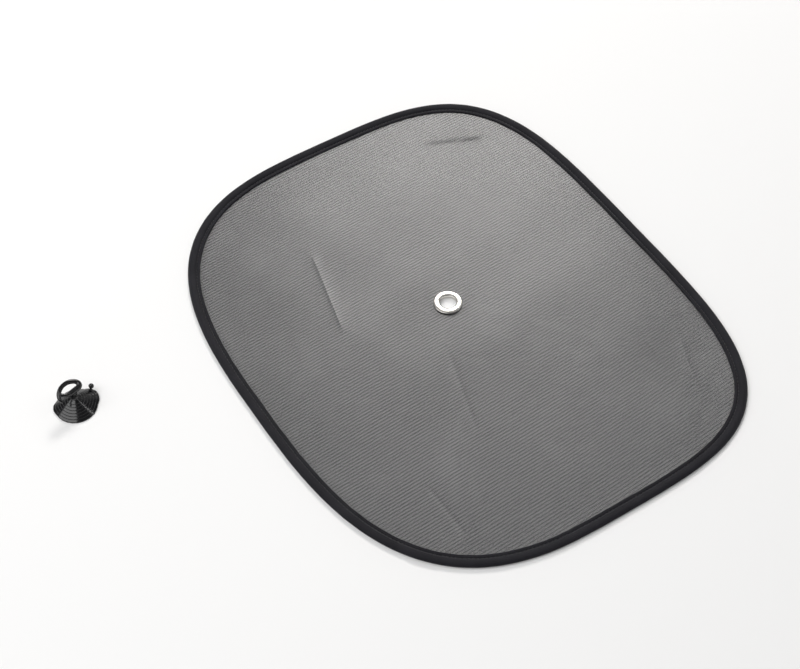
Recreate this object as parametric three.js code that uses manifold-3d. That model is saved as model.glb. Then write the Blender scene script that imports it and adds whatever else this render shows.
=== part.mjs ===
// A car side window sunshade, lying flat: one layer of ribbed black mesh, held taut by a ring of
// spring wire that is sewn into a folded binding tape, with a metal eyelet in the mesh. Its suction
// cup, one soft moulding with a hook, lies unhooked beside it, lip down.
// Millimetres, +Z up. X runs along the panel and Y across it. The floor is z = 0.
import * as THREE from "three";
import { ParametricGeometry } from "three/addons/geometries/ParametricGeometry.js";
import { mergeGeometries, mergeVertices } from "three/addons/utils/BufferGeometryUtils.js";
import Module from "manifold-3d";

// Panel outline: two halves of a superellipse, the far long side squarer than the near one.
const PANEL_LENGTH = 440;
const PANEL_WIDTH = 360;
const FAR_SIDE_POWER = 3.74;
const NEAR_SIDE_POWER = 2.92;
const OUTLINE_STEPS = 72;

// Spring wire and the crimped sleeve over its butt joint.
const WIRE_DIAMETER = 1.5;
const WIRE_SIDES = 8;
const WIRE_BUTT_GAP = 0.6;
const SLEEVE_LENGTH = 16;
const SLEEVE_WALL = 0.3;
const SLEEVE_PLAY = 0.15;

// Binding tape, folded round the wire and the edge of the mesh and sewn through.
const BINDING_WIDTH = 10;
const TAPE_THICKNESS = 0.45;
const WIRE_INSET = 2.6;
const BEAD_FLAT = 1.2;
const SEAM_INSET = 7.2;
const SEAM_DIP = 0.25;
const SEAM_HALF_WIDTH = 0.7;
const FIT_GAP = 0.3;

// Mesh: ribs across the panel, with long gaps between some of them.
const MESH_THICKNESS = 0.5;
const RIB_HEIGHT = 0.2;
const RIB_PITCH = 2.55;
const RIBS_PER_GAP = 4;
const GAP_WIDTH = 1.5;
const GAP_ROWS = 3;
const GAP_BAND = 6;
const GAP_MARGIN = 8;

// Eyelet: a drawn metal eyelet, its barrel curled over a washer under the mesh.
const EYELET_X = -13.3;
const EYELET_Y = 4.1;
const EYELET_BORE = 13.5;
const EYELET_FLANGE = 23;
const EYELET_METAL = 0.4;
const EYELET_CROWN = 1.35;
const EYELET_CURL = 2.1;
const EYELET_LAND = 3;
const WASHER_THICKNESS = 0.35;
const ROUND_STEPS = 32;

// Suction cup: lip, stepped cone, hollow underside, neck, hook and pull tab in one moulding.
const CUP_X = -84.2;
const CUP_Y = -289.3;
const LIP_DIAMETER = 35;
const LIP_THICKNESS = 0.9;
const LIP_LAND = 1.7;
const CONE_HEIGHT = 10.6;
const CONE_TOP_RADIUS = 3.4;
const CONE_STEPS = 6;
const STEP_RISER = 0.45;
const HOLLOW_HEIGHT = 7.4;
const HOLLOW_POWER = 1.3;
const HOLLOW_POINTS = 5;
const NECK_RADIUS = 2.6;
const CUP_SEGMENTS = 36;

// Hook: a bar over the neck that bends back in a wide arc, open near the neck, with a snap tongue.
const HOOK_HEIGHT = 18.2;
const HOOK_AZIMUTH = 107.3;
const HOOK_LEAN = 27;
const HOOK_HALF_WIDTH = 1.6;
const HOOK_HALF_DEPTH = 1.85;
const TONGUE_RADIUS = 1.1;
const HOOK_SIDES = 8;
const HOOK_STEPS = 44;
const HOOK_POINTS = [
  [-3.2, 0.1],
  [1.4, 0],
  [6.2, -0.1],
  [8.4, 0.7],
  [9.1, 2.7],
  [8.2, 4.8],
  [5.9, 6.5],
  [2.3, 8],
  [-1.4, 8.5],
  [-5, 8],
  [-8.1, 6.5],
  [-10.5, 4.4],
  [-11.9, 1.9],
  [-11.5, -0.4],
  [-9.7, -2],
];
const TONGUE_POINTS = [
  [-2.6, 0.2],
  [-5, 0.7],
  [-6.5, 2.1],
  [-7.8, 3.1],
];

// Pull tab: a web that rises from the lip to a small ball.
const TAB_AZIMUTH = 111.3;
const TAB_RISE = 5.2;
const TAB_REACH = 0.4;
const TAB_ROOT_RADIUS = 1.2;
const TAB_TIP_RADIUS = 0.75;
const TAB_BALL_RADIUS = 1.75;

// Heights that follow from those sizes.
const SLEEVE_RADIUS = WIRE_DIAMETER / 2 + SLEEVE_PLAY + SLEEVE_WALL;
const CHANNEL_HALF = MESH_THICKNESS / 2 + FIT_GAP;
const FLANGE_HALF = CHANNEL_HALF + TAPE_THICKNESS;
const CAVITY_STEPS = 6;
const CAVITY_HALF_TURN = Math.PI - Math.asin(CHANNEL_HALF / (SLEEVE_RADIUS + FIT_GAP));
const CAVITY_RADIUS = (SLEEVE_RADIUS + FIT_GAP) / Math.cos(CAVITY_HALF_TURN / CAVITY_STEPS);
const BEAD_HALF = CAVITY_RADIUS + TAPE_THICKNESS;
const MESH_EDGE_INSET = WIRE_INSET + SLEEVE_RADIUS + FIT_GAP;
const MESH_TOP = BEAD_HALF + MESH_THICKNESS / 2;
const MESH_BOTTOM = BEAD_HALF - MESH_THICKNESS / 2;
const BARREL_RADIUS = EYELET_BORE / 2 + EYELET_METAL;
const WASHER_TOP = MESH_BOTTOM - FIT_GAP;
const WASHER_BOTTOM = WASHER_TOP - WASHER_THICKNESS;

const wasm = await Module();
wasm.setup();

// A closed geometry as a solid that can be joined and cut.
function solid(geometry) {
  const bare = new THREE.BufferGeometry();
  bare.setAttribute("position", geometry.getAttribute("position"));
  bare.setIndex(geometry.index);
  const merged = mergeVertices(bare, 1e-4);
  const faces = [];
  for (let i = 0; i < merged.index.count; i += 3) {
    const [a, b, c] = merged.index.array.slice(i, i + 3);
    if (a !== b && b !== c && c !== a) faces.push(a, b, c);
  }
  const vertProperties = merged.attributes.position.array;
  const triVerts = new Uint32Array(faces);
  return new wasm.Manifold(new wasm.Mesh({ numProp: 3, vertProperties, triVerts }));
}

// A joined or cut solid as a named mesh in its material.
function piece(name, made, material) {
  const { vertProperties, triVerts } = made.getMesh();
  const geometry = new THREE.BufferGeometry();
  geometry.setAttribute("position", new THREE.BufferAttribute(vertProperties, 3));
  geometry.setIndex(new THREE.BufferAttribute(triVerts, 1));
  geometry.computeVertexNormals();
  const mesh = new THREE.Mesh(geometry, material);
  mesh.name = name;
  return mesh;
}

// A ring of material round the Z axis, from a closed profile of [radius, height] corners.
function turned(profile, segments) {
  const points = [...profile, profile[0]].map(([radius, height]) => new THREE.Vector2(radius, height));
  return solid(new THREE.LatheGeometry(points, segments).rotateX(Math.PI / 2));
}

// A point of the panel's outline, moved inwards along the outline's normal.
function outlinePoint(turn, inset) {
  const cos = Math.cos(turn);
  const sin = Math.sin(turn);
  const power = sin >= 0 ? FAR_SIDE_POWER : NEAR_SIDE_POWER;
  const [halfLength, halfWidth] = [PANEL_LENGTH / 2, PANEL_WIDTH / 2];
  const shareX = Math.sign(cos) * Math.abs(cos) ** (2 / power);
  const shareY = Math.sign(sin) * Math.abs(sin) ** (2 / power);
  const normal = new THREE.Vector2(
    (Math.sign(shareX) * Math.abs(shareX) ** (power - 1)) / halfLength,
    (Math.sign(shareY) * Math.abs(shareY) ** (power - 1)) / halfWidth,
  ).normalize();
  return new THREE.Vector2(halfLength * shareX, halfWidth * shareY).addScaledVector(normal, -inset);
}

// How far the outline reaches from the X axis at a place along it, on the far or the near side.
function outlineReach(x, power) {
  return (PANEL_WIDTH / 2) * (1 - Math.abs((2 * x) / PANEL_LENGTH) ** power) ** (1 / power);
}

// A closed section of [inset, height above the mesh's mid-plane] corners, swept round the outline.
function sweptRing(section) {
  const place = (across, along, target) => {
    const [inset, height] = section[Math.round(across * section.length) % section.length];
    const step = Math.round(along * OUTLINE_STEPS) % OUTLINE_STEPS;
    const { x, y } = outlinePoint((step * 2 * Math.PI) / OUTLINE_STEPS, inset);
    target.set(x, y, BEAD_HALF + height);
  };
  return solid(new ParametricGeometry(place, section.length, OUTLINE_STEPS));
}

// A rod along a planar curve, its half width in the plane and half depth across it given along it.
function rod(points, planeNormal, halfSizes, steps, sides) {
  const path = new THREE.CatmullRomCurve3(points);
  const place = (round, along, target) => {
    const row = Math.round(along * (steps + 2));
    const share = THREE.MathUtils.clamp((row - 1) / steps, 0, 1);
    path.getPoint(share, target);
    if (row === 0 || row === steps + 2) return;
    const side = planeNormal.clone().cross(path.getTangent(share)).normalize();
    const [width, depth] = halfSizes(share);
    const angle = ((Math.round(round * sides) % sides) * 2 * Math.PI) / sides;
    target.addScaledVector(side, width * Math.cos(angle));
    target.addScaledVector(planeNormal, depth * Math.sin(angle));
  };
  return solid(new ParametricGeometry(place, sides, steps + 2));
}

function ball(centre, radius) {
  return solid(new THREE.SphereGeometry(radius, 12, 8).translate(centre.x, centre.y, centre.z));
}

function springWire() {
  const section = [];
  for (let i = 0; i < WIRE_SIDES; i += 1) {
    const angle = (i * 2 * Math.PI) / WIRE_SIDES;
    const radius = WIRE_DIAMETER / 2;
    section.push([WIRE_INSET + radius * Math.cos(angle), radius * Math.sin(angle)]);
  }
  const cut = new THREE.BoxGeometry(WIRE_BUTT_GAP, 2 * WIRE_DIAMETER, 2 * WIRE_DIAMETER);
  cut.translate(0, WIRE_INSET - PANEL_WIDTH / 2, BEAD_HALF);
  return sweptRing(section).subtract(solid(cut));
}

function wireSleeve() {
  const ring = new THREE.Shape().absarc(0, 0, SLEEVE_RADIUS, 0, 2 * Math.PI);
  ring.holes.push(new THREE.Path().absarc(0, 0, SLEEVE_RADIUS - SLEEVE_WALL, 0, 2 * Math.PI, true));
  const tube = new THREE.ExtrudeGeometry(ring, {
    depth: SLEEVE_LENGTH,
    bevelEnabled: false,
    curveSegments: 8,
  });
  tube.translate(0, 0, -SLEEVE_LENGTH / 2).rotateY(Math.PI / 2);
  return solid(tube.translate(0, WIRE_INSET - PANEL_WIDTH / 2, BEAD_HALF));
}

function bindingTape() {
  // One face of the tape, from the fold at the outer edge to the sewn inner edge.
  const face = [
    [WIRE_INSET * (1 - Math.cos(Math.PI / 6)), BEAD_HALF * Math.sin(Math.PI / 6)],
    [WIRE_INSET * (1 - Math.cos(Math.PI / 3)), BEAD_HALF * Math.sin(Math.PI / 3)],
    [WIRE_INSET, BEAD_HALF],
    [WIRE_INSET + BEAD_FLAT, BEAD_HALF],
    [SEAM_INSET - SEAM_HALF_WIDTH, FLANGE_HALF],
    [SEAM_INSET, FLANGE_HALF - SEAM_DIP],
    [SEAM_INSET + SEAM_HALF_WIDTH, FLANGE_HALF],
    [BINDING_WIDTH, FLANGE_HALF],
  ];
  // The channel that the mesh enters by, and the hollow round the wire at its end.
  const channel = [[BINDING_WIDTH, -CHANNEL_HALF]];
  for (let i = 0; i <= CAVITY_STEPS; i += 1) {
    const angle = Math.PI + CAVITY_HALF_TURN * (1 - (2 * i) / CAVITY_STEPS);
    channel.push([WIRE_INSET + CAVITY_RADIUS * Math.cos(angle), CAVITY_RADIUS * Math.sin(angle)]);
  }
  channel.push([BINDING_WIDTH, CHANNEL_HALF]);
  const mirrored = face.map(([inset, height]) => [inset, -height]);
  return sweptRing([[0, 0], ...mirrored, ...channel, ...face.toReversed()]);
}

// Long gaps in the valleys between ribs, in rows, clear of the binding and of the eyelet.
function meshGaps() {
  const gaps = [];
  const pitch = RIB_PITCH * RIBS_PER_GAP;
  const eyeletRoom = EYELET_FLANGE / 2 + EYELET_LAND;
  const reachX = PANEL_LENGTH / 2 - BINDING_WIDTH - GAP_MARGIN;
  const edge = BINDING_WIDTH + GAP_MARGIN;
  const addGap = (x, low, high) => {
    if (high - low < 2 * GAP_BAND) return;
    const box = new THREE.BoxGeometry(GAP_WIDTH, high - low, 2 * MESH_THICKNESS);
    gaps.push(box.translate(x, (low + high) / 2, BEAD_HALF));
  };
  const columns = Math.floor(reachX / pitch);
  const valley = Math.floor(RIBS_PER_GAP / 2) + 0.5;
  for (let column = -columns; column < columns; column += 1) {
    const x = column * pitch + valley * RIB_PITCH;
    const low = edge - outlineReach(x, NEAR_SIDE_POWER);
    const high = outlineReach(x, FAR_SIDE_POWER) - edge;
    const length = (high - low - GAP_BAND * (GAP_ROWS - 1)) / GAP_ROWS;
    const near = Math.abs(x - EYELET_X) < eyeletRoom;
    const room = near ? Math.sqrt(eyeletRoom ** 2 - (x - EYELET_X) ** 2) : 0;
    for (let row = 0; row < GAP_ROWS; row += 1) {
      const start = low + row * (length + GAP_BAND);
      if (near && start < EYELET_Y && start + length > EYELET_Y) {
        addGap(x, start, EYELET_Y - room);
        addGap(x, EYELET_Y + room, start + length);
      } else {
        addGap(x, start, start + length);
      }
    }
  }
  return solid(mergeGeometries(gaps));
}

function meshPanel() {
  const ribs = Math.ceil(PANEL_LENGTH / 2 / RIB_PITCH);
  const profile = [new THREE.Vector2(-ribs * RIB_PITCH, MESH_BOTTOM)];
  profile.push(new THREE.Vector2(ribs * RIB_PITCH, MESH_BOTTOM));
  for (let rib = ribs; rib > -ribs; rib -= 1) {
    profile.push(new THREE.Vector2(rib * RIB_PITCH, MESH_TOP));
    profile.push(new THREE.Vector2((rib - 0.5) * RIB_PITCH, MESH_TOP - RIB_HEIGHT));
  }
  profile.push(new THREE.Vector2(-ribs * RIB_PITCH, MESH_TOP));
  const sheet = new THREE.ExtrudeGeometry(new THREE.Shape(profile), {
    depth: PANEL_WIDTH,
    bevelEnabled: false,
  });
  sheet.rotateX(Math.PI / 2).translate(0, PANEL_WIDTH / 2, 0);

  const edge = [];
  for (let step = 0; step < OUTLINE_STEPS; step += 1) {
    edge.push(outlinePoint((step * 2 * Math.PI) / OUTLINE_STEPS, MESH_EDGE_INSET));
  }
  const blank = new THREE.ExtrudeGeometry(new THREE.Shape(edge), {
    depth: 2 * BEAD_HALF,
    bevelEnabled: false,
  });

  const holeRadius = BARREL_RADIUS + FIT_GAP;
  const hole = new THREE.CylinderGeometry(holeRadius, holeRadius, 2 * BEAD_HALF, ROUND_STEPS);
  hole.rotateX(Math.PI / 2).translate(EYELET_X, EYELET_Y, BEAD_HALF);
  return solid(sheet).intersect(solid(blank)).subtract(solid(hole)).subtract(meshGaps());
}

// The eyelet: a hollow rolled crown over the mesh, the barrel, and the barrel's curl under the washer.
function eyelet() {
  const bore = EYELET_BORE / 2;
  const rim = EYELET_FLANGE / 2;
  const seat = MESH_TOP + FIT_GAP;
  const crown = seat + EYELET_CROWN;
  const curlTop = WASHER_BOTTOM - FIT_GAP;
  const curlBottom = curlTop - EYELET_METAL;
  const roll = EYELET_CROWN - EYELET_METAL;
  return turned(
    [
      [bore, curlBottom + EYELET_METAL],
      [bore + EYELET_METAL / 2, curlBottom],
      [BARREL_RADIUS + EYELET_CURL, curlBottom],
      [BARREL_RADIUS + EYELET_CURL, curlTop],
      [BARREL_RADIUS, curlTop],
      [BARREL_RADIUS, seat],
      [BARREL_RADIUS + roll, crown - EYELET_METAL],
      [rim - EYELET_METAL - roll, crown - EYELET_METAL],
      [rim - EYELET_METAL, seat],
      [rim, seat],
      [rim, seat + EYELET_METAL],
      [rim - roll / 2, crown - EYELET_METAL / 2],
      [rim - EYELET_CROWN, crown],
      [bore + EYELET_CROWN, crown],
      [bore + roll / 2, crown - EYELET_METAL / 2],
      [bore, seat + EYELET_METAL],
    ],
    ROUND_STEPS,
  ).translate(EYELET_X, EYELET_Y, 0);
}

function eyeletWasher() {
  const inner = BARREL_RADIUS + FIT_GAP;
  const outer = EYELET_FLANGE / 2;
  return turned(
    [
      [inner, WASHER_BOTTOM],
      [outer, WASHER_BOTTOM],
      [outer, WASHER_TOP],
      [inner, WASHER_TOP],
    ],
    ROUND_STEPS,
  ).translate(EYELET_X, EYELET_Y, 0);
}

// The cup's cone in steps, down to its lip, and the hollow under it.
function cupBody() {
  const lip = LIP_DIAMETER / 2;
  const tread = (lip - CONE_TOP_RADIUS) / CONE_STEPS;
  const fall = (CONE_HEIGHT - LIP_THICKNESS) / CONE_STEPS;
  const profile = [[CONE_TOP_RADIUS, CONE_HEIGHT], [0, CONE_HEIGHT]];
  for (let i = HOLLOW_POINTS; i >= 0; i -= 1) {
    const share = 1 - i / HOLLOW_POINTS;
    profile.push([(lip - LIP_LAND) * share, HOLLOW_HEIGHT * (1 - share ** HOLLOW_POWER)]);
  }
  profile.push([lip, 0]);
  for (let step = CONE_STEPS; step > 0; step -= 1) {
    const radius = CONE_TOP_RADIUS + step * tread;
    const height = CONE_HEIGHT - step * fall;
    profile.push([radius, height], [radius, height + STEP_RISER]);
  }
  return turned(profile, CUP_SEGMENTS);
}

// The neck, and the hook that it carries in a plane leaning back from the bar over the neck.
function cupHook() {
  const azimuth = THREE.MathUtils.degToRad(HOOK_AZIMUTH);
  const lean = THREE.MathUtils.degToRad(HOOK_LEAN);
  const along = new THREE.Vector3(Math.cos(azimuth), Math.sin(azimuth), 0);
  const out = new THREE.Vector3(-Math.sin(azimuth), Math.cos(azimuth), Math.tan(lean)).normalize();
  const normal = new THREE.Vector3().crossVectors(along, out);
  const inPlane = ([bar, bulge]) =>
    new THREE.Vector3(0, 0, HOOK_HEIGHT).addScaledVector(along, bar).addScaledVector(out, bulge);

  const hookPath = HOOK_POINTS.map(inPlane);
  const tonguePath = TONGUE_POINTS.map(inPlane);
  const hook = rod(hookPath, normal, () => [HOOK_HALF_WIDTH, HOOK_HALF_DEPTH], HOOK_STEPS, HOOK_SIDES);
  const tongue = rod(tonguePath, normal, () => [TONGUE_RADIUS, TONGUE_RADIUS], 6, HOOK_SIDES);
  const neckLength = HOOK_HEIGHT - CONE_HEIGHT + STEP_RISER;
  const neck = new THREE.CylinderGeometry(NECK_RADIUS - 0.5, NECK_RADIUS, neckLength, 16);
  neck.rotateX(Math.PI / 2).translate(0, 0, HOOK_HEIGHT - neckLength / 2);
  return solid(neck)
    .add(hook)
    .add(tongue)
    .add(ball(hookPath[0], HOOK_HALF_WIDTH))
    .add(ball(hookPath.at(-1), HOOK_HALF_WIDTH))
    .add(ball(tonguePath.at(-1), TONGUE_RADIUS));
}

function pullTab() {
  const azimuth = THREE.MathUtils.degToRad(TAB_AZIMUTH);
  const lip = LIP_DIAMETER / 2;
  const radial = (radius, height) =>
    new THREE.Vector3(radius * Math.cos(azimuth), radius * Math.sin(azimuth), height);
  const across = new THREE.Vector3(-Math.sin(azimuth), Math.cos(azimuth), 0);
  const tip = radial(lip + TAB_REACH, TAB_RISE);
  const path = [radial(lip - LIP_LAND, TAB_ROOT_RADIUS), radial(lip, TAB_RISE / 2), tip];
  const halfSizes = (share) => {
    const radius = THREE.MathUtils.lerp(TAB_ROOT_RADIUS, TAB_TIP_RADIUS, share);
    return [radius, radius];
  };
  return rod(path, across, halfSizes, 6, HOOK_SIDES).add(ball(tip, TAB_BALL_RADIUS));
}

function suctionCup() {
  return cupBody().add(cupHook()).add(pullTab());
}

const blackMesh = new THREE.MeshStandardMaterial({ color: 0x1d1d1f, roughness: 0.75 });
const blackTape = new THREE.MeshStandardMaterial({ color: 0x2b2b2e, roughness: 0.85 });
const springSteel = new THREE.MeshStandardMaterial({ color: 0x8a8d92, roughness: 0.35, metalness: 1 });
const platedBrass = new THREE.MeshStandardMaterial({ color: 0xd9dadc, roughness: 0.12, metalness: 1 });
const softPvc = new THREE.MeshStandardMaterial({ color: 0x141416, roughness: 0.25 });

const panel = new THREE.Group();
panel.add(
  piece("mesh_panel", meshPanel(), blackMesh),
  piece("binding_tape", bindingTape(), blackTape),
  piece("spring_wire", springWire(), springSteel),
  piece("wire_sleeve", wireSleeve(), springSteel),
  piece("eyelet", eyelet(), platedBrass),
  piece("eyelet_washer", eyeletWasher(), platedBrass),
);

const cup = new THREE.Group();
cup.position.set(CUP_X, CUP_Y, 0);
cup.add(piece("suction_cup", suctionCup(), softPvc));

// The part's origin is on the floor, midway between the far edge of the panel and the cup's lip.
const sunshade = new THREE.Group();
sunshade.position.y = -(PANEL_WIDTH / 2 + CUP_Y - LIP_DIAMETER / 2) / 2;
sunshade.add(panel, cup);

export default sunshade;
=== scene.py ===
# A car side window sunshade: a mesh panel held open by a sprung wire in a sewn tape edge, with a
# metal eyelet, and its suction cup lying beside it. The panel lies flat on a white studio floor.
# Metres, +Z up. X runs along the panel and Y across it, away from the cup.
import math

import bmesh
import bpy
import numpy as np
from mathutils import Matrix, Quaternion, Vector, noise


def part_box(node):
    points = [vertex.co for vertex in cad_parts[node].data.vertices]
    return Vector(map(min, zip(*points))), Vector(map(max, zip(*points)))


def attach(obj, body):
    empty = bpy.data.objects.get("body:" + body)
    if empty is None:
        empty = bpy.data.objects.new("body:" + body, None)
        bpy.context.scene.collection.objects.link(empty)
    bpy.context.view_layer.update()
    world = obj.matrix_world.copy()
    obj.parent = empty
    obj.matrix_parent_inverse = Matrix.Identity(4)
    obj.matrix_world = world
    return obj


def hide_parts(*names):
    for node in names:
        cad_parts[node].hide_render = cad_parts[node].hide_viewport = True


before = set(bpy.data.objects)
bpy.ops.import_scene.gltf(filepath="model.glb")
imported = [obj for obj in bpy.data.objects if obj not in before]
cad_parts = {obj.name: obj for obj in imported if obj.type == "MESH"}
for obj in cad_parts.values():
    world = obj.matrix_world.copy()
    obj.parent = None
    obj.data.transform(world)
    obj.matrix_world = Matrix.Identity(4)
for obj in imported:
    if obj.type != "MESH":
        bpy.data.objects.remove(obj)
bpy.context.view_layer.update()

# Camera of the studio: a long lens that looks down on the panel from its near right corner.
# The image is 800 x 669, and its middle falls on the floor close to the panel's centre.
camera_data = bpy.data.cameras.new("studio_camera")
camera_data.lens = 76.5
camera_data.sensor_width = 36.0
camera_data.clip_start = 0.01
camera = bpy.data.objects.new("studio_camera", camera_data)
camera.location = (0.68513, -0.42642, 1.05565)
aim = Vector((-0.0089, 0.0192, 0.0)) - camera.location
camera.rotation_euler = aim.to_track_quat("-Z", "Y").to_euler()
bpy.context.scene.collection.objects.link(camera)
bpy.context.scene.camera = camera
bpy.context.scene.view_settings.view_transform = "Standard"


# Floor: a wide sheet of white card. It adds a little white of its own for the camera and for
# reflections, so that it is white in the picture and still keeps the object's shadow.
def new_material(name):
    """A node material, its tree and its main shader."""
    material = bpy.data.materials.new(name)
    material.use_nodes = True
    return material, material.node_tree, material.node_tree.nodes["Principled BSDF"]


def add_node(tree, kind, inputs=None, **settings):
    """A node with its settings; each input is a value, or a socket to link from."""
    made = tree.nodes.new(kind)
    for name, value in settings.items():
        setattr(made, name, value)
    for name, value in (inputs or {}).items():
        if isinstance(value, bpy.types.NodeSocket):
            tree.links.new(value, made.inputs[name])
        else:
            made.inputs[name].default_value = value
    return made


def maths(tree, operation, first, second=0.0):
    """The result of one Math node."""
    return add_node(tree, "ShaderNodeMath", {0: first, 1: second}, operation=operation).outputs[0]


def link_mesh(name, points, faces, material):
    """A mesh object at the origin, in one material."""
    mesh = bpy.data.meshes.new(name)
    mesh.from_pydata([tuple(p) for p in points], [], faces)
    mesh.update()
    mesh.materials.append(material)
    made = bpy.data.objects.new(name, mesh)
    bpy.context.scene.collection.objects.link(made)
    return made


white_card, tree, shader = new_material("white_card")
shader.inputs["Base Color"].default_value = (0.8, 0.8, 0.8, 1.0)
shader.inputs["Roughness"].default_value = 0.9
shader.inputs["Specular IOR Level"].default_value = 0.1
shader.inputs["Emission Color"].default_value = (1.0, 1.0, 1.0, 1.0)
ray = add_node(tree, "ShaderNodeLightPath")
seen = maths(tree, "MAXIMUM", ray.outputs["Is Camera Ray"], ray.outputs["Is Glossy Ray"])
seen = maths(tree, "MAXIMUM", seen, ray.outputs["Is Transmission Ray"])
tree.links.new(maths(tree, "MULTIPLY", seen, 0.10), shader.inputs["Emission Strength"])
floor = link_mesh("floor", [(-6, -6, 0), (6, -6, 0), (6, 6, 0), (-6, 6, 0)], [(0, 1, 2, 3)], white_card)

# Studio light: a long softbox over the cup on the camera's left, a narrow strip on its right, and
# a lamp behind the panel's far left end, backed by a weak panel. The room is white low down and
# dim overhead, which keeps black parts black.
panel_light_target = Vector((-0.01, 0.02, 0.0))


def studio_lamp(name, azimuth, elevation, distance, size, watts, roll=0.0, colour=(1.0, 1.0, 1.0)):
    """An area lamp that faces the panel, its azimuth counted from +X, in degrees."""
    data = bpy.data.lights.new(name, "AREA")
    data.shape = "RECTANGLE"
    data.size, data.size_y = size
    data.energy = watts
    data.color = colour
    lamp = bpy.data.objects.new(name, data)
    a, e = math.radians(azimuth), math.radians(elevation)
    way = Vector((math.cos(a) * math.cos(e), math.sin(a) * math.cos(e), math.sin(e)))
    lamp.location = panel_light_target + way * distance
    facing = (-way).to_track_quat("-Z", "Y") @ Quaternion((0, 0, 1), math.radians(roll))
    lamp.rotation_euler = facing.to_euler()
    bpy.context.scene.collection.objects.link(lamp)
    return lamp


studio_lamp("long_softbox", -99.8, 56.0, 2.13, (2.2, 1.5), 33.0, roll=36.0)
studio_lamp("right_strip", 62.0, 52.0, 2.0, (0.10, 1.3), 3.0)
studio_lamp("back_lamp", 143.5, 42.0, 2.4, (0.8, 0.5), 28.0, colour=(1.0, 0.975, 0.945))
studio_lamp("back_panel", 147.0, 52.0, 2.4, (3.2, 1.8), 7.0)

world = bpy.data.worlds.new("studio_room")
world.use_nodes = True
bpy.context.scene.world = world
tree = world.node_tree
room = tree.nodes["Background"]
direction = add_node(tree, "ShaderNodeTexCoord")
height = add_node(tree, "ShaderNodeSeparateXYZ", {0: direction.outputs["Generated"]})
rise = add_node(tree, "ShaderNodeMapRange", {0: height.outputs["Z"], 1: 0.06, 2: 0.4, 3: 1.0, 4: 0.10})
grey = add_node(tree, "ShaderNodeCombineColor", {0: rise.outputs[0], 1: rise.outputs[0], 2: rise.outputs[0]})
tree.links.new(grey.outputs[0], room.inputs["Color"])
room.inputs["Strength"].default_value = 1.0

# Spring wire and its crimped sleeve: drawn spring steel that runs inside the tape edge and holds
# the panel open. Both stay as they are in the frame, and only get their finish.
def cloud(tree, scale, detail=2.0):
    """A fine noise over the object, from 0 to 1."""
    place = add_node(tree, "ShaderNodeTexCoord").outputs["Object"]
    noisy = add_node(tree, "ShaderNodeTexNoise", {"Vector": place, "Scale": scale, "Detail": detail})
    return noisy.outputs[0]


def two_tones(tree, shader, source, dark, light, low=0.0, high=1.0):
    """Links a base colour that goes from one tone to another as a value rises."""
    tone = add_node(tree, "ShaderNodeValToRGB", {0: source})
    for element, position, colour in zip(tone.color_ramp.elements, (low, high), (dark, light)):
        element.position = position
        element.color = (*colour, 1.0)
    tree.links.new(tone.outputs[0], shader.inputs["Base Color"])
    return tone.outputs[0]


def bumped(tree, shader, source, strength, distance):
    """Links a bump of the given height in metres."""
    bump = add_node(tree, "ShaderNodeBump", {"Height": source, "Strength": strength, "Distance": distance})
    tree.links.new(bump.outputs[0], shader.inputs["Normal"])


spring_steel, tree, shader = new_material("spring_steel")
shader.inputs["Metallic"].default_value = 1.0
shader.inputs["Roughness"].default_value = 0.34
two_tones(tree, shader, cloud(tree, 700.0, 3.0), (0.30, 0.31, 0.33), (0.42, 0.43, 0.45))
for node_name in ("spring_wire", "wire_sleeve"):
    carried = bpy.data.objects[node_name]
    carried.data.materials.clear()
    carried.data.materials.append(spring_steel)

# Mesh: one layer of black warp-knitted polyester, sewn into the binding. Rows of loops run across
# the panel, every sixth one thicker, which shows as fine ribs. Laid-in threads cross them on the
# slant both ways, so that nearly half of the light goes through. It lies a few degrees off square.
PANEL_LENGTH = 0.440
PANEL_WIDTH = 0.360
FAR_SIDE_POWER = 3.74
NEAR_SIDE_POWER = 2.92
RIB_PITCH = 0.00255
ROWS_PER_RIB = 6
RIB_WIDTH = 0.000242
RIB_HEIGHT = 0.00034
ROW_WIDTH = 0.000142
LAID_IN_PITCH = 0.00049
LAID_IN_WIDTH = 0.000119
LAID_IN_SLANT = math.radians(54.8)
MESH_EDGE_INSET = 0.0052
EYELET_PUNCH = 0.0085
KNIT_TURN = math.radians(2.7)

tape_low, tape_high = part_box("binding_tape")
panel_centre = (Vector(tape_low) + Vector(tape_high)) / 2
mesh_level = panel_centre.z
eyelet_low, eyelet_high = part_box("eyelet")
eyelet_centre = (Vector(eyelet_low) + Vector(eyelet_high)) / 2
eyelet_in_panel = eyelet_centre - panel_centre


def new_tree(name, inputs):
    """A Geometry Nodes tree with named inputs; it gives back the tree, its inputs and its output."""
    made = bpy.data.node_groups.new(name, "GeometryNodeTree")
    made.interface.new_socket("Geometry", in_out="INPUT", socket_type="NodeSocketGeometry")
    for label, kind, value in inputs:
        socket = made.interface.new_socket(label, in_out="INPUT", socket_type=kind)
        if value is not None:
            socket.default_value = value
    made.interface.new_socket("Geometry", in_out="OUTPUT", socket_type="NodeSocketGeometry")
    return made, made.nodes.new("NodeGroupInput").outputs, made.nodes.new("NodeGroupOutput").inputs


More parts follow.
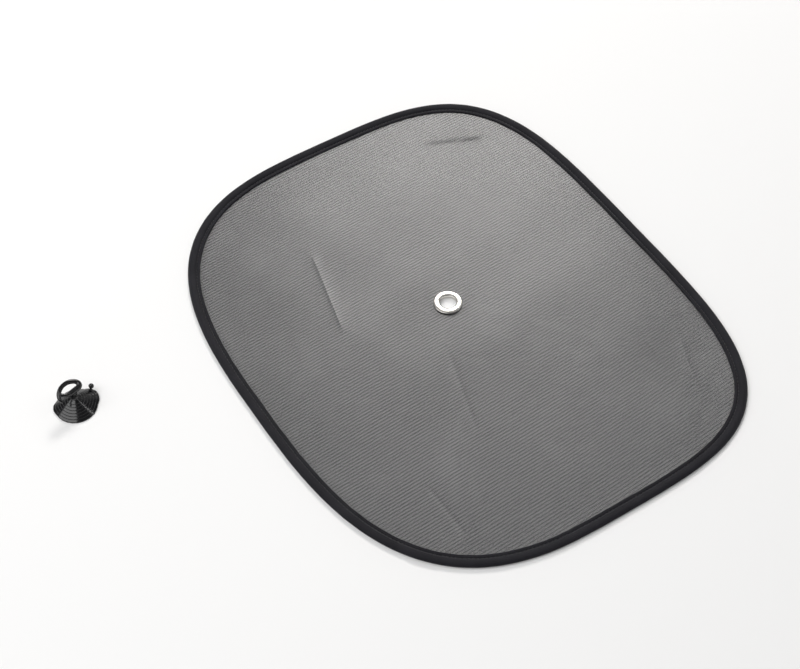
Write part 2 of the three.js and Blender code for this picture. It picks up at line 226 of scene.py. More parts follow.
def grown(name, made, values, base=None):
    """A plain mesh object from a tree, its inputs set by their identifiers first."""
    source = base or bpy.data.objects.new(name + "_base", bpy.data.meshes.new(name + "_base"))
    if base is None:
        bpy.context.scene.collection.objects.link(source)
    modifier = source.modifiers.new(name, "NODES")
    modifier.node_group = made
    sockets = {item.name: item.identifier for item in made.interface.items_tree if item.in_out == "INPUT"}
    for label, value in values.items():
        modifier[sockets[label]] = value
    bpy.context.view_layer.update()
    evaluated = source.evaluated_get(bpy.context.evaluated_depsgraph_get())
    mesh = bpy.data.meshes.new_from_object(evaluated)
    mesh.name = name
    source.modifiers.remove(modifier)
    bpy.data.objects.remove(source)
    result = bpy.data.objects.new(name, mesh)
    bpy.context.scene.collection.objects.link(result)
    return result


black_mesh, tree, shader = new_material("black_mesh")
shader.inputs["Roughness"].default_value = 0.32
shader.inputs["Specular IOR Level"].default_value = 0.5
shader.inputs["Sheen Weight"].default_value = 0.10
shader.inputs["Sheen Roughness"].default_value = 0.4
yarn = cloud(tree, 2400.0)
dye = cloud(tree, 14.0, 3.0)
shade = maths(tree, "ADD", maths(tree, "MULTIPLY", dye, 0.5), maths(tree, "MULTIPLY", yarn, 0.5))
two_tones(tree, shader, shade, (0.012, 0.012, 0.014), (0.030, 0.029, 0.033), 0.3, 0.7)
bumped(tree, shader, yarn, 0.12, 0.00005)

# A family of threads side by side: flat ones, or raised ones with four sides and open ends. Their
# ends lie at -1 and 1 here, and are drawn out to the edges of the mesh afterwards.
family, given, made_out = new_tree("thread_family", [
    ("Count", "NodeSocketInt", 100),
    ("Pitch", "NodeSocketFloat", 0.00255),
    ("Width", "NodeSocketFloat", 0.0002),
    ("Height", "NodeSocketFloat", 0.0003),
    ("Raised", "NodeSocketBool", False),
    ("Stations", "NodeSocketInt", 32),
    ("Left Out Every", "NodeSocketInt", 1),
    ("Material", "NodeSocketMaterial", None),
])
bar_size = add_node(family, "ShaderNodeCombineXYZ", {0: given["Width"], 1: 2.0, 2: given["Height"]})
bar = add_node(family, "GeometryNodeMeshCube", {
    "Size": bar_size.outputs[0], "Vertices X": 2, "Vertices Y": given["Stations"], "Vertices Z": 2,
})
normal = add_node(family, "GeometryNodeInputNormal").outputs[0]
normal_y = add_node(family, "ShaderNodeSeparateXYZ", {0: normal}).outputs[1]
is_end = maths(family, "GREATER_THAN", maths(family, "ABSOLUTE", normal_y), 0.5)
bar = add_node(family, "GeometryNodeDeleteGeometry", {
    "Geometry": bar.outputs[0], "Selection": is_end,
}, domain="FACE")
flat = add_node(family, "GeometryNodeMeshGrid", {
    "Size X": given["Width"], "Size Y": 2.0, "Vertices X": 2, "Vertices Y": given["Stations"],
})
shape = add_node(family, "GeometryNodeSwitch", {
    "Switch": given["Raised"], "False": flat.outputs[0], "True": bar.outputs[0],
}, input_type="GEOMETRY")
first_x = maths(family, "MULTIPLY", maths(family, "MULTIPLY", given["Count"], given["Pitch"]), -0.5)
places = add_node(family, "GeometryNodeMeshLine", {
    "Count": given["Count"],
    "Start Location": add_node(family, "ShaderNodeCombineXYZ", {0: first_x}).outputs[0],
    "Offset": add_node(family, "ShaderNodeCombineXYZ", {0: given["Pitch"]}).outputs[0],
})
number = add_node(family, "GeometryNodeInputIndex").outputs[0]
left_out = maths(family, "LESS_THAN", maths(family, "MODULO", number, given["Left Out Every"]), 0.5)
some_left_out = maths(family, "GREATER_THAN", given["Left Out Every"], 1.5)
kept = maths(family, "SUBTRACT", 1.0, maths(family, "MULTIPLY", left_out, some_left_out))
threads = add_node(family, "GeometryNodeInstanceOnPoints", {
    "Points": places.outputs[0], "Instance": shape.outputs[0], "Selection": kept,
})
real = add_node(family, "GeometryNodeRealizeInstances", {0: threads.outputs[0]})
finished = add_node(family, "GeometryNodeSetMaterial", {
    "Geometry": real.outputs[0], "Material": given["Material"],
})
family.links.new(finished.outputs[0], made_out[0])


def knit_place(across, along):
    """Where a point of the knit lies in the panel: turned a little, and drawn out of true."""
    x = across * math.cos(KNIT_TURN) - along * math.sin(KNIT_TURN)
    y = across * math.sin(KNIT_TURN) + along * math.cos(KNIT_TURN)
    pulled = np.exp(-(((x - 0.16) / 0.11) ** 2)) * np.clip((y - 0.02) / 0.16, 0, 1.2) ** 2
    x = x - 0.0042 * pulled + 0.0005 * np.sin(19 * y + 7 * x + 0.5) + 0.00018 * np.sin(71 * y - 25 * x)
    y = y + 0.0006 * np.sin(17 * x - 5 * y + 1.9) + 0.0002 * np.sin(63 * x + 31 * y)
    return x, y


def inside_edge(x, y):
    """True where a point of the panel is on the mesh, inside its cut edge."""
    power = np.where(y > 0, FAR_SIDE_POWER, NEAR_SIDE_POWER)
    part_x = np.abs(x) / (PANEL_LENGTH / 2 - MESH_EDGE_INSET)
    part_y = np.abs(y) / (PANEL_WIDTH / 2 - MESH_EDGE_INSET)
    return part_x**power + part_y**power < 1


def off_eyelet(x, y):
    """The distance of a point of the panel from the middle of the eyelet."""
    return np.hypot(x - eyelet_in_panel.x, y - eyelet_in_panel.y)


# Folding the panel for its pouch leaves fine creases, along which the threads draw together. Each
# is a line from one point of the panel to another, with its half width and its strength.
CREASES = [
    ((0.100, 0.1145), (0.121, 0.1128), 0.0012, 0.7),
    ((0.113, 0.138), (0.172, 0.1135), 0.0013, 1.0),
    ((-0.172, 0.085), (-0.150, 0.134), 0.0013, 1.0),
    ((0.120, -0.1045), (0.176, -0.1038), 0.0014, -0.8),
    ((-0.120, -0.060), (-0.030, -0.082), 0.0013, 0.8),
    ((0.020, -0.020), (0.105, -0.047), 0.0013, -0.7),
]


def crease_frame(x, y, crease):
    """How far a point is from a crease, how much of its length has passed, and its direction."""
    (x0, y0), (x1, y1) = crease[0], crease[1]
    length = math.hypot(x1 - x0, y1 - y0)
    ux, uy = (x1 - x0) / length, (y1 - y0) / length
    run = ((x - x0) * ux + (y - y0) * uy) / length
    fade = np.clip(run / 0.15, 0, 1) * np.clip((1 - run) / 0.15, 0, 1)
    return (y - y0) * ux - (x - x0) * uy, fade, (ux, uy)


def lay_mesh(points):
    """Lifts the flat knit into its soft swells and creases, and sets it in the binding."""
    x, y = points[:, 0].copy(), points[:, 1].copy()
    power = np.where(y > 0, FAR_SIDE_POWER, NEAR_SIDE_POWER)
    outward = (np.abs(2 * x / PANEL_LENGTH) ** power + np.abs(2 * y / PANEL_WIDTH) ** power) ** (1 / power)
    calm = np.clip((0.955 - outward) / 0.2, 0, 1) * np.clip((off_eyelet(x, y) - 0.011) / 0.04, 0, 1)
    swell = np.sin(31 * x + 17 * y + 0.8) * np.sin(23 * y - 11 * x + 2.1)
    swell += 0.6 * np.sin(58 * x - 37 * y + 0.3) * np.sin(49 * y + 29 * x)
    points[:, 2] += calm * 0.0003 * swell
    for crease in CREASES:
        half, strength = crease[2], crease[3]
        away, fade, (ux, uy) = crease_frame(x, y, crease)
        pull = -strength * 0.42 * away * np.exp(-((away / half) ** 2)) * fade
        points[:, 0] -= pull * uy
        points[:, 1] += pull * ux
        points[:, 2] += 0.0004 * strength * np.exp(-((away / (1.3 * half)) ** 2)) * fade
    points += np.array([panel_centre.x, panel_centre.y, mesh_level])


def draw_threads(values, slant, level):
    """A family of threads laid in the panel: each runs from edge to edge and is parted at the
    eyelet, and its stations stand closer where it crosses a crease."""
    made = grown("threads", family, {**values, "Material": black_mesh})
    spots = np.empty(len(made.data.vertices) * 3)
    made.data.vertices.foreach_get("co", spots)
    spots = spots.reshape(-1, 3)
    quads = np.empty(len(made.data.loops), dtype=np.int64)
    made.data.loops.foreach_get("vertex_index", quads)
    quads = quads.reshape(-1, 4)
    bpy.data.objects.remove(made)
    pitch, stations = values["Pitch"], values["Stations"]
    number = np.rint(spots[:, 0] / pitch).astype(int)
    sideways = spots[:, 0] - number * pitch
    station = np.rint((spots[:, 1] + 1) / 2 * (stations - 1)).astype(int)
    c, s = math.cos(slant), math.sin(slant)
    trial = np.linspace(-0.3, 0.3, 1201)
    first = number.min()
    run_of = np.zeros((number.max() - first + 1, stations))
    lost, parted = [], []
    for n in np.unique(number):
        x, y = knit_place(n * pitch * c - trial * s, n * pitch * s + trial * c)
        inside = inside_edge(x, y)
        if inside.sum() < 8:
            lost.append(n)
            continue
        weight = np.ones(len(trial))
        for crease in CREASES:
            away, fade, way = crease_frame(x, y, crease)
            weight += 24 * fade * np.exp(-((away / (2 * crease[2])) ** 2))
        spans, punched = [inside], off_eyelet(x, y) < EYELET_PUNCH
        if punched.any():
            parted.append(n)
            middle = trial[punched].mean()
            spans = [inside & ~punched & (trial < middle), inside & ~punched & (trial > middle)]
        for i, span in enumerate(spans):
            summed = np.cumsum(weight[span])
            size = stations // len(spans)
            ends = np.linspace(summed[0], summed[-1], size)
            run_of[n - first, i * size : (i + 1) * size] = np.interp(ends, summed, trial[span])
    along = run_of[number - first, station]
    x, y = knit_place(number * pitch * c - along * s, number * pitch * s + along * c)
    laid = np.column_stack([x + sideways * c, y + sideways * s, spots[:, 2] + level])
    lay_mesh(laid)
    near_end, far_end = station[quads].min(axis=1), station[quads].max(axis=1)
    across_gap = (near_end == stations // 2 - 1) & (far_end == stations // 2)
    of_thread = number[quads[:, 0]]
    gone = np.isin(of_thread, lost) | (across_gap & np.isin(of_thread, parted))
    return laid, quads[~gone]


rib_count = 2 * round(0.5 * 1.12 * PANEL_LENGTH / RIB_PITCH)
laid_in_count = 2 * round(0.5 * 0.58 / LAID_IN_PITCH)
rib_values = {
    "Count": rib_count, "Pitch": RIB_PITCH, "Width": RIB_WIDTH, "Height": RIB_HEIGHT,
    "Raised": True, "Stations": 32,
}
row_values = {
    "Count": rib_count * ROWS_PER_RIB, "Pitch": RIB_PITCH / ROWS_PER_RIB, "Width": ROW_WIDTH,
    "Stations": 32, "Left Out Every": ROWS_PER_RIB,
}
laid_in_values = {"Count": laid_in_count, "Pitch": LAID_IN_PITCH, "Width": LAID_IN_WIDTH, "Stations": 22}
families = [
    draw_threads(rib_values, 0.0, 0.0),
    draw_threads(row_values, 0.0, 0.0),
    draw_threads(laid_in_values, LAID_IN_SLANT, 0.00005),
    draw_threads(laid_in_values, -LAID_IN_SLANT, -0.00005),
]
knit_points = np.empty((0, 3))
knit_faces = np.empty((0, 4), dtype=np.int64)
for laid, quads in families:
    knit_faces = np.vstack([knit_faces, quads + len(knit_points)])
    knit_points = np.vstack([knit_points, laid])
used, corners = np.unique(knit_faces, return_inverse=True)
knitted = link_mesh("knitted_mesh", knit_points[used].tolist(), corners.reshape(-1, 4).tolist(), black_mesh)
knitted.data.shade_smooth()
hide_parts("mesh_panel")
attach(knitted, "root")

# Binding: a woven polyester tape, folded over the wire and the edge of the mesh and sewn through
# along its inner edge. Its ends lap over each other on the near side, the upper one cut slanting.
TAPE_THICKNESS = 0.00036
TAPE_STEP = 0.0012
TAPE_FACE = [
    (10.0, 0.62), (9.96, 0.86), (9.4, 0.98), (8.6, 1.00), (7.95, 0.88), (7.5, 0.55), (7.2, 0.42),
    (6.9, 0.58), (6.55, 1.10), (6.0, 1.52), (5.3, 1.84), (4.5, 2.03), (3.7, 2.12), (2.9, 2.12),
    (2.1, 2.02), (1.4, 1.79), (0.8, 1.40), (0.36, 0.88), (0.1, 0.32),
]
LAP_LENGTH = 0.024


def outline_at(turn):
    """A point of the panel's outline and the outward normal there, for a turn in radians."""
    c, s = math.cos(turn), math.sin(turn)
    n = FAR_SIDE_POWER if s >= 0 else NEAR_SIDE_POWER
    px = math.copysign(abs(c) ** (2 / n), c)
    py = math.copysign(abs(s) ** (2 / n), s)
    nx = math.copysign(abs(px) ** (n - 1), px) / (PANEL_LENGTH / 2)
    ny = math.copysign(abs(py) ** (n - 1), py) / (PANEL_WIDTH / 2)
    size = math.hypot(nx, ny)
    return px * PANEL_LENGTH / 2, py * PANEL_WIDTH / 2, nx / size, ny / size


turns = np.linspace(0, 2 * math.pi, 40001)
trace = np.array([outline_at(turn)[:2] for turn in turns])
lengths = np.concatenate([[0.0], np.cumsum(np.hypot(*np.diff(trace, axis=0).T))])
perimeter = lengths[-1]
tape_steps = round(perimeter / TAPE_STEP)
even_turns = np.interp(np.arange(tape_steps) * perimeter / tape_steps, lengths, turns)
lap_near = np.argmin(np.hypot(trace[:, 0] - 0.1605, trace[:, 1] + 0.1445))
lap_start = lengths[lap_near]

rows = TAPE_FACE + [(inset, -height) for inset, height in reversed(TAPE_FACE)]
points, faces, coords = [], [], []
for step in range(tape_steps):
    run = step * perimeter / tape_steps
    ox, oy, nx, ny = outline_at(even_turns[step])
    for number, (inset, height) in enumerate(rows):
        reach = (10.0 - inset) / 10.0
        swell = noise.noise(Vector((ox * 28, oy * 28, 3.0 + 0.4 * height)))
        fine = noise.noise(Vector((ox * 130, oy * 130, 9.0 + 0.3 * height)))
        pucker = math.sin(run / 0.0031 * 2 * math.pi)
        inset_now = inset + 0.16 * swell + 0.10 * fine
        if inset > 9.0:
            inset_now += 0.22 * swell + 0.10 * fine + 0.05 * pucker
        if height < -1.0:
            rise_now = height
        else:
            rise_now = height + (0.10 * swell + 0.07 * fine) * math.sin(math.pi * min(reach, 1.0))
        if 6.5 < inset < 7.8:
            rise_now -= math.copysign(0.05, height) * pucker
        lap_run = run - lap_start + inset * 0.0009
        lap = min(max(lap_run / 0.0012, 0.0), 1.0) * min(max((LAP_LENGTH - lap_run) / 0.0012, 0.0), 1.0)
        if height > 0:
            inset_now -= 0.28 * lap * max(0.0, 1 - inset / 2.5)
            rise_now += 0.34 * lap
        x = ox - nx * inset_now / 1000
        y = oy - ny * inset_now / 1000
        points.append((panel_centre.x + x, panel_centre.y + y, mesh_level + rise_now / 1000))
width = len(rows)
for step in range(tape_steps):
    after = (step + 1) % tape_steps
    for number in range(width - 1):
        a, b = step * width + number, after * width + number
        faces.append((a, a + 1, b + 1, b))
        run0, run1 = step * perimeter / tape_steps, (step + 1) * perimeter / tape_steps
        v0, v1 = number * 0.00075, (number + 1) * 0.00075
        coords.append(((run0, v0), (run0, v1), (run1, v1), (run1, v0)))

black_tape, tree, shader = new_material("black_tape")
shader.inputs["Roughness"].default_value = 0.7
shader.inputs["Specular IOR Level"].default_value = 0.15
shader.inputs["Sheen Weight"].default_value = 0.12
shader.inputs["Sheen Roughness"].default_value = 0.45
across = add_node(tree, "ShaderNodeUVMap", uv_map="along_tape")
slant = (0.0, 0.0, math.radians(45))
warp_map = add_node(tree, "ShaderNodeMapping", {0: across.outputs[0], "Rotation": slant})
twill = add_node(tree, "ShaderNodeTexWave", {
    "Vector": warp_map.outputs[0], "Scale": 420.0, "Distortion": 0.6, "Detail": 1.0,
})
dark_dye, light_dye = (0.0105, 0.0100, 0.0135), (0.0165, 0.0158, 0.0205)
dyed = two_tones(tree, shader, cloud(tree, 60.0, 4.0), dark_dye, light_dye, 0.3, 0.7)
lines = add_node(tree, "ShaderNodeMixRGB", {0: 0.35, 1: dyed, 2: twill.outputs[0]}, blend_type="MULTIPLY")
tree.links.new(lines.outputs[0], shader.inputs["Base Color"])
bumped(tree, shader, twill.outputs[1], 0.35, 0.0001)

binding = link_mesh("tape_binding", points, faces, black_tape)
tape_uv = binding.data.uv_layers.new(name="along_tape")
tape_uv.data.foreach_set("uv", np.array(coords).ravel())
binding.data.shade_smooth()
wall = binding.modifiers.new("tape_wall", "SOLIDIFY")
wall.thickness = TAPE_THICKNESS
wall.offset = -1.0
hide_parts("binding_tape")
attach(binding, "root")

# Sewing: one line of black polyester thread through the tape and the mesh, 3 mm stitches, which
# shows on both faces of the tape along its inner edge.
STITCH_LENGTH = 0.0031
THREAD_WIDTH = 0.00042
SEAM_INSET = 0.0072
SEAM_HEIGHT = 0.00060
seam_points = []
for turn in even_turns[::2]:
    ox, oy, nx, ny = outline_at(turn)
    seam_x, seam_y = ox - nx * SEAM_INSET, oy - ny * SEAM_INSET
    seam_points.append((panel_centre.x + seam_x, panel_centre.y + seam_y, mesh_level))

sewing_thread, tree, shader = new_material("sewing_thread")
shader.inputs["Roughness"].default_value = 0.5
shader.inputs["Sheen Weight"].default_value = 0.2
two_tones(tree, shader, cloud(tree, 3000.0), (0.010, 0.010, 0.012), (0.028, 0.028, 0.032))

seam, given, made_out = new_tree("sewn_seam", [
    ("Stitch Length", "NodeSocketFloat", 0.003),
    ("Thread Width", "NodeSocketFloat", 0.0004),
    ("Seam Height", "NodeSocketFloat", 0.0008),
    ("Material", "NodeSocketMaterial", None),
])
path = add_node(seam, "GeometryNodeMeshToCurve", {0: given["Geometry"]})
stops = add_node(seam, "GeometryNodeCurveToPoints", {
    0: path.outputs[0], "Length": given["Stitch Length"],
}, mode="LENGTH")
bead = add_node(seam, "GeometryNodeMeshUVSphere", {"Segments": 6, "Rings": 5, "Radius": 0.5})
bead_length = maths(seam, "MULTIPLY", given["Stitch Length"], 0.82)
bead_size = add_node(seam, "ShaderNodeCombineXYZ", {
    0: given["Thread Width"], 1: bead_length, 2: given["Thread Width"],
})
bead = add_node(seam, "GeometryNodeTransform", {0: bead.outputs[0], "Scale": bead_size.outputs[0]})
facing = add_node(seam, "FunctionNodeAlignRotationToVector", {
    "Vector": stops.outputs["Tangent"],
}, axis="Y", pivot_axis="Z")
both = add_node(seam, "GeometryNodeJoinGeometry")
for side in (1.0, -1.0):
    level = maths(seam, "MULTIPLY", given["Seam Height"], side)
    offset = add_node(seam, "ShaderNodeCombineXYZ", {2: level})
    lifted = add_node(seam, "GeometryNodeSetPosition", {
        "Geometry": stops.outputs[0], "Offset": offset.outputs[0],
    })
    sewn = add_node(seam, "GeometryNodeInstanceOnPoints", {
        "Points": lifted.outputs[0], "Instance": bead.outputs[0], "Rotation": facing.outputs[0],
    })
    seam.links.new(sewn.outputs[0], both.inputs[0])
real = add_node(seam, "GeometryNodeRealizeInstances", {0: both.outputs[0]})
round_thread = add_node(seam, "GeometryNodeSetShadeSmooth", {"Geometry": real.outputs[0]})
finished = add_node(seam, "GeometryNodeSetMaterial", {
    "Geometry": round_thread.outputs[0], "Material": given["Material"],
})
seam.links.new(finished.outputs[0], made_out[0])

seam_line = bpy.data.meshes.new("seam_line")
seam_edges = [(i, (i + 1) % len(seam_points)) for i in range(len(seam_points))]
seam_line.from_pydata(seam_points, seam_edges, [])
seam_base = bpy.data.objects.new("seam_line", seam_line)
bpy.context.scene.collection.objects.link(seam_base)
stitches = grown("seam_stitches", seam, {
    "Stitch Length": STITCH_LENGTH,
    "Thread Width": THREAD_WIDTH,
    "Seam Height": SEAM_HEIGHT,
    "Material": sewing_thread,
}, seam_base)
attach(stitches, "root")

# Eyelet: two pressed rings of nickel-plated brass. The upper one has a rolled crown and a barrel
# that goes through the mesh and is curled over the washer underneath.
nickel_plate, tree, shader = new_material("nickel_plate")
shader.inputs["Metallic"].default_value = 1.0
wear = cloud(tree, 500.0, 4.0)
two_tones(tree, shader, wear, (0.56, 0.54, 0.51), (0.70, 0.68, 0.65))
gloss = add_node(tree, "ShaderNodeMapRange", {0: wear, 3: 0.10, 4: 0.20})
tree.links.new(gloss.outputs[0], shader.inputs["Roughness"])
bumped(tree, shader, wear, 0.08, 0.0002)


def turned(name, profile, segments, centre, material, closed=True):
    """A smooth solid of revolution from [radius, height] points in millimetres."""
    points, faces, rings = [], [], []
    for radius, level in profile:
        if radius < 1e-6:
            rings.append([len(points)])
            points.append((centre[0], centre[1], centre[2] + level / 1000))
            continue
        rings.append(list(range(len(points), len(points) + segments)))
        for i in range(segments):
            a = 2 * math.pi * i / segments
            points.append((
                centre[0] + radius / 1000 * math.cos(a),
                centre[1] + radius / 1000 * math.sin(a),
                centre[2] + level / 1000,
            ))
    pairs = list(zip(rings, rings[1:] + rings[:1])) if closed else list(zip(rings, rings[1:]))
    for low, high in pairs:
        for i in range(segments):
            j = (i + 1) % segments
            ring = [low[i % len(low)], low[j % len(low)], high[j % len(high)], high[i % len(high)]]
            corners = [v for k, v in enumerate(ring) if v != ring[k - 1]]
            if len(corners) > 2:
                faces.append(corners)
    made = link_mesh(name, points, faces, material)
    shell = bmesh.new()
    shell.from_mesh(made.data)
    bmesh.ops.recalc_face_normals(shell, faces=shell.faces)
    shell.to_mesh(made.data)
    shell.free()
    made.data.shade_smooth()
    return made


def arc(centre, radius, start, end, steps):
    """Points of a circular arc in a profile, its angles in degrees."""
    angles = [math.radians(start + (end - start) * i / steps) for i in range(steps + 1)]
    return [(centre[0] + radius * math.cos(a), centre[1] + radius * math.sin(a)) for a in angles]


washer_low, washer_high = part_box("eyelet_washer")
eyelet_axis = (eyelet_centre.x, eyelet_centre.y, 0.0)
crown_top, curl_low = eyelet_high[2] * 1000, eyelet_low[2] * 1000
washer_top, washer_bottom = washer_high[2] * 1000, washer_low[2] * 1000
seat = washer_top + 1.1
eyelet_profile = [(7.15, curl_low + 0.8), (7.15, seat)]
eyelet_profile += arc((8.6, crown_top - 1.55), 1.15, 175, 95, 8)
eyelet_profile += arc((9.9, crown_top - 1.55), 1.15, 85, 5, 8)
eyelet_profile += [(11.1, seat), (11.45, seat), (11.5, seat + 0.1), (11.5, crown_top - 0.45)]
for share in np.linspace(0.96, -0.96, 25):
    eyelet_profile.append((9.125 + 2.375 * share, crown_top - 0.3 * abs(share) ** 3))
eyelet_profile += [(6.75, crown_top - 0.45), (6.75, curl_low + 0.6)]
eyelet_profile += arc((7.3, curl_low + 0.5), 0.5, 190, 265, 6)
eyelet_profile += [(9.1, curl_low), (9.25, curl_low + 0.15), (9.25, curl_low + 0.3)]
eyelet_profile += [(9.1, curl_low + 0.4), (7.4, curl_low + 0.4)]
eyelet_ring = turned("plated_eyelet", eyelet_profile, 128, eyelet_axis, nickel_plate)
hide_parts("eyelet")
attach(eyelet_ring, "root")

washer_profile = [(7.45, washer_bottom + 0.05), (7.5, washer_bottom)]
washer_profile += [(11.1, washer_bottom), (11.4, washer_bottom + 0.08), (11.5, washer_bottom + 0.2)]
washer_profile += [(11.5, washer_top - 0.05), (11.45, washer_top)]
washer_profile += [(7.5, washer_top), (7.45, washer_top - 0.05)]
washer_ring = turned("plated_washer", washer_profile, 128, eyelet_axis, nickel_plate)
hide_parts("eyelet_washer")
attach(washer_ring, "root")

# Suction cup: one moulding in soft glossy black PVC. A cone in rounded steps runs down to a thin
# lip, a snap hook stands on its neck, and a small ball on a web is pulled to let the cup go.
CUP_SEGMENTS = 144
LIP_RADIUS = 17.5
CONE_STEPS = 7
CONE_TOP = 10.6
CONE_TOP_RADIUS = 3.6
LIP_THICKNESS = 0.85
LIP_LAND = 1.7
HOLLOW_HEIGHT = 7.4
HOLLOW_POWER = 1.3
STEP_DROP = 0.34
CUP_AXIS = (-0.0842, -0.2259, 0.0)
soft_pvc, tree, shader = new_material("soft_pvc")
shader.inputs["Specular IOR Level"].default_value = 0.5
dust = cloud(tree, 420.0, 5.0)
two_tones(tree, shader, dust, (0.004, 0.004, 0.005), (0.009, 0.009, 0.010))
gloss = add_node(tree, "ShaderNodeMapRange", {0: dust, 3: 0.11, 4: 0.17})
tree.links.new(gloss.outputs[0], shader.inputs["Roughness"])
bumped(tree, shader, dust, 0.05, 0.0001)

# Cone: from the top middle, down the outside in steps, under the lip and up the hollow.
tread = (LIP_RADIUS - CONE_TOP_RADIUS) / CONE_STEPS
fall = (CONE_TOP - LIP_THICKNESS) / CONE_STEPS
cone_profile = [(0.0, CONE_TOP + 0.9), (2.3, CONE_TOP + 0.9)]
cone_profile += [(2.6, CONE_TOP + 0.55), (3.0, CONE_TOP + 0.2)]
for step in range(CONE_STEPS):
    r0 = CONE_TOP_RADIUS + step * tread
    z0 = CONE_TOP - step * fall
    for share in (0.03, 0.09, 0.13, 0.5, 0.84, 0.89):
        cone_profile.append((r0 + share * tread, z0 - share * (fall - STEP_DROP)))
    edge = z0 - fall + STEP_DROP
    cone_profile += [(r0 + 0.96 * tread, edge), (r0 + 0.995 * tread, edge - 0.08)]
    cone_profile.append((r0 + tread, edge - 0.2))
cone_profile += [(LIP_RADIUS, 0.35), (LIP_RADIUS - 0.06, 0.12)]
cone_profile += [(LIP_RADIUS - 0.22, 0.0), (LIP_RADIUS - LIP_LAND, 0.0)]
for i in range(1, 13):
    share = 1 - i / 12
    cone_profile.append(((LIP_RADIUS - LIP_LAND) * share, HOLLOW_HEIGHT * (1 - share**HOLLOW_POWER)))
cup_cone = turned("cup_cone", cone_profile, CUP_SEGMENTS, (0.0, 0.0, 0.0), soft_pvc, closed=False)

# The soft lip isn't quite round: it bulges and lifts where the pull tab leaves it. Each entry is
# an azimuth in degrees, the radius of the lip there and its lift, in millimetres.
LIP_SHAPE = [
    (-180, 15.0, 0), (-150, 15.2, 0), (-134, 15.8, 0), (-120, 17.3, 0), (-107, 17.5, 0), (-97, 17.0, 0),
    (-88, 16.5, 0), (60, 16.5, 0), (69, 17.4, 0.2), (79, 18.3, 0.6), (90, 18.8, 0.9), (100, 18.9, 1.0),
    (118, 17.4, 0.7), (130, 15.6, 0.3), (150, 15.0, 0), (180, 15.0, 0),
]
lip_turns, lip_radii, lip_lifts = zip(*LIP_SHAPE)
for vertex in cup_cone.data.vertices:
    radius = math.hypot(vertex.co.x, vertex.co.y) * 1000
    if radius < 0.01:
        continue
    turn = math.degrees(math.atan2(vertex.co.y, vertex.co.x))
    share = min(max((radius - 6.0) / (LIP_RADIUS - 6.0), 0.0), 1.0)
    grow = 1 + (np.interp(turn, lip_turns, lip_radii) / LIP_RADIUS - 1) * share
    vertex.co.x *= grow
    vertex.co.y *= grow
    vertex.co.z += np.interp(turn, lip_turns, lip_lifts) * share / 1000

# Hook: a bar across the neck that bends round into a loop, with a short tongue. Both are drawn in
# the hook's own plane, which leans back over the neck.
HOOK_HEIGHT = 18.2
HOOK_TURN = math.radians(107.3)
HOOK_LEAN = math.radians(27.0)
HOOK_POINTS = [
    (-3.2, 0.1), (1.4, 0.0), (5.3, -0.1), (7.2, 0.6), (7.9, 2.4), (7.2, 4.4), (5.3, 6.2), (2.2, 7.8),
    (-1.4, 8.4), (-5.0, 7.9), (-8.1, 6.4), (-10.4, 4.3), (-11.7, 1.9), (-11.7, 0.3), (-11.3, -1.0),
]
TONGUE_POINTS = [(-2.6, 0.2), (-4.9, 0.8), (-6.8, 2.1), (-8.3, 3.4)]
along_bar = Vector((math.cos(HOOK_TURN), math.sin(HOOK_TURN), 0.0))
away_bar = Vector((-math.sin(HOOK_TURN), math.cos(HOOK_TURN), math.tan(HOOK_LEAN))).normalized()


def in_hook(point):
    """A point of the hook's plane, in millimetres over the cup's axis."""
    return Vector((0.0, 0.0, HOOK_HEIGHT)) + along_bar * point[0] + away_bar * point[1]


def smooth_path(points, per_span):
    """A Catmull-Rom curve through 3D points."""
    ends = [2 * points[0] - points[1]] + points + [2 * points[-1] - points[-2]]
    made = []
    for i in range(1, len(ends) - 2):
        p0, p1, p2, p3 = ends[i - 1 : i + 3]
        for k in range(per_span):
            t = k / per_span
            square = (2 * p0 - 5 * p1 + 4 * p2 - p3) * t**2
            cube = (3 * p1 - p0 - 3 * p2 + p3) * t**3
            made.append(0.5 * (2 * p1 + (p2 - p0) * t + square + cube))
    made.append(points[-1])
    return made


def rod(shell, path, normal, half_sizes, sides=20):
    """A round-ended rod along a path, added to a bmesh; sizes are half width and half depth."""
    rings = []
    last = len(path) - 1
    for i, centre in enumerate(path):
        tangent = (path[min(i + 1, last)] - path[max(i - 1, 0)]).normalized()
        side = normal.cross(tangent).normalized()
        over = tangent.cross(side).normalized()
        wide, deep = half_sizes(i / last)
        ring = []
        for k in range(sides):
            a = 2 * math.pi * k / sides
            ring.append(shell.verts.new(centre + side * wide * math.cos(a) + over * deep * math.sin(a)))
        rings.append(ring)
    for low, high in zip(rings, rings[1:]):
        for k in range(sides):
            j = (k + 1) % sides
            shell.faces.new((low[k], low[j], high[j], high[k]))
    for ring, centre, way in ((rings[0], path[0], -1), (rings[-1], path[-1], 1)):
        tangent = (path[1] - path[0]) if way < 0 else (path[-1] - path[-2])
        wide, deep = half_sizes(0.0 if way < 0 else 1.0)
        tip = shell.verts.new(centre + tangent.normalized() * way * min(wide, deep) * 0.7)
        for k in range(sides):
            j = (k + 1) % sides
            shell.faces.new((ring[j], ring[k], tip) if way < 0 else (ring[k], ring[j], tip))


def hook_sizes(share):
    """The hook is thickest over the neck, and thins along its arc to the free end."""
    size = np.interp(share, (0.0, 0.22, 0.36, 0.75, 1.0), (2.2, 2.25, 1.85, 1.7, 1.3))
    return size, size * 1.05


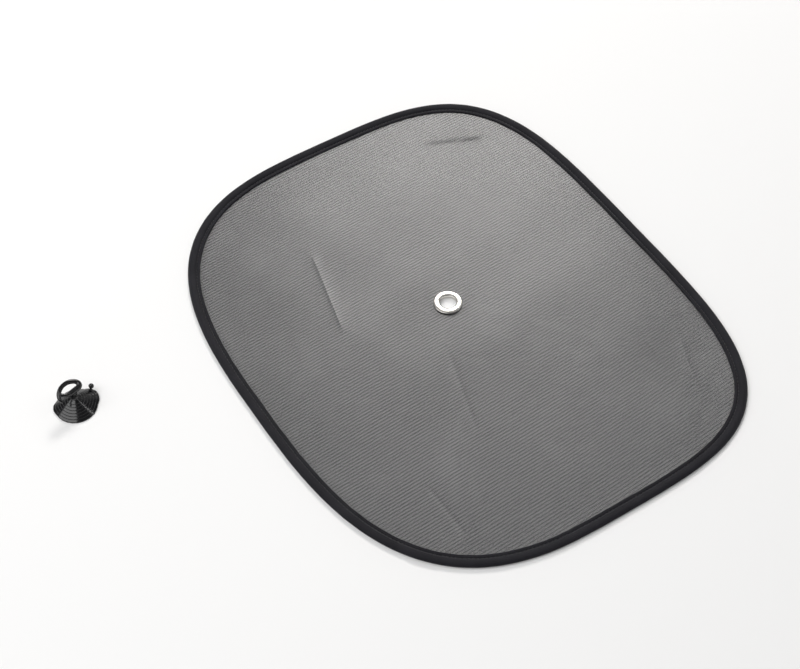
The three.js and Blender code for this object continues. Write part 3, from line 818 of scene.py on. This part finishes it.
shell = bmesh.new()
hook_normal = along_bar.cross(away_bar).normalized()
hook_path = smooth_path([in_hook(p) for p in HOOK_POINTS], 8)
tongue_path = smooth_path([in_hook(p) for p in TONGUE_POINTS], 8)
rod(shell, hook_path, hook_normal, hook_sizes)
rod(shell, tongue_path, hook_normal, lambda share: (1.6 - 0.2 * share, 1.6 - 0.2 * share))
tongue_tip = Matrix.Translation(tongue_path[-1])
bmesh.ops.create_icosphere(shell, subdivisions=2, radius=1.45, matrix=tongue_tip)
neck_levels = (CONE_TOP - 0.6, CONE_TOP + 0.4, 12.0, 13.5, 15.0, 16.5, 17.6)
neck_path = [Vector((0.0, 0.0, z)) for z in neck_levels]
neck_sizes = [(3.2, 3.3), (2.8, 2.9), (2.4, 2.7), (2.25, 2.8), (2.2, 3.2), (2.2, 3.8), (2.0, 4.0)]
rod(shell, neck_path, along_bar, lambda share: neck_sizes[round(share * 6)], 24)
bmesh.ops.recalc_face_normals(shell, faces=shell.faces)
hook_mesh = bpy.data.meshes.new("cup_hook")
shell.to_mesh(hook_mesh)
shell.free()
cup_hook = bpy.data.objects.new("cup_hook", hook_mesh)
bpy.context.scene.collection.objects.link(cup_hook)

# Pull tab: a thin stalk that leaves the lip and turns up, with a ball on its end and a web below.
TAB_TURN = math.radians(111.3)
TAB_STALK = [(12.2, 3.7), (14.6, 3.0), (16.4, 2.9), (17.5, 4.3), (17.9, 5.9)]
TAB_WEB = [(15.2, 1.5), (16.6, 1.8), (17.2, 2.6)]
shell = bmesh.new()
tab_way = Vector((math.cos(TAB_TURN), math.sin(TAB_TURN), 0.0))
tab_side = Vector((-tab_way.y, tab_way.x, 0.0))
tab_points = [tab_way * radius + Vector((0, 0, z)) for radius, z in TAB_STALK]
rod(shell, smooth_path(tab_points, 6), tab_side, lambda share: (1.25 - 0.5 * share, 1.0 - 0.25 * share), 16)
bmesh.ops.create_icosphere(shell, subdivisions=3, radius=2.15, matrix=Matrix.Translation(tab_points[-1]))
web_points = [tab_way * radius + Vector((0, 0, z)) for radius, z in TAB_WEB]
rod(shell, smooth_path(web_points, 6), tab_side, lambda share: (1.3, 1.1), 16)
bmesh.ops.recalc_face_normals(shell, faces=shell.faces)
tab_mesh = bpy.data.meshes.new("cup_tab")
shell.to_mesh(tab_mesh)
shell.free()
cup_tab = bpy.data.objects.new("cup_tab", tab_mesh)
bpy.context.scene.collection.objects.link(cup_tab)

# Rods that meet are fused and their corners softened, as one moulding has them.
fused = bmesh.new()
for moulded in (cup_hook, cup_tab):
    remesh = moulded.modifiers.new("fuse", "REMESH")
    remesh.mode = "VOXEL"
    remesh.voxel_size = 0.28
    soften = moulded.modifiers.new("soften", "SMOOTH")
    soften.factor = 0.5
    soften.iterations = 6
    bpy.context.view_layer.update()
    baked = bpy.data.meshes.new_from_object(moulded.evaluated_get(bpy.context.evaluated_depsgraph_get()))
    baked.transform(Matrix.Scale(0.001, 4))
    fused.from_mesh(baked)
    bpy.data.objects.remove(moulded)
fused.from_mesh(cup_cone.data)
bpy.data.objects.remove(cup_cone)
bmesh.ops.translate(fused, verts=fused.verts, vec=CUP_AXIS)
cup_mesh = bpy.data.meshes.new("soft_suction_cup")
fused.to_mesh(cup_mesh)
fused.free()
cup_mesh.materials.clear()
cup_mesh.materials.append(soft_pvc)
cup_mesh.shade_smooth()
cup = bpy.data.objects.new("soft_suction_cup", cup_mesh)
bpy.context.scene.collection.objects.link(cup)
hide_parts("suction_cup")
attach(cup, "root")
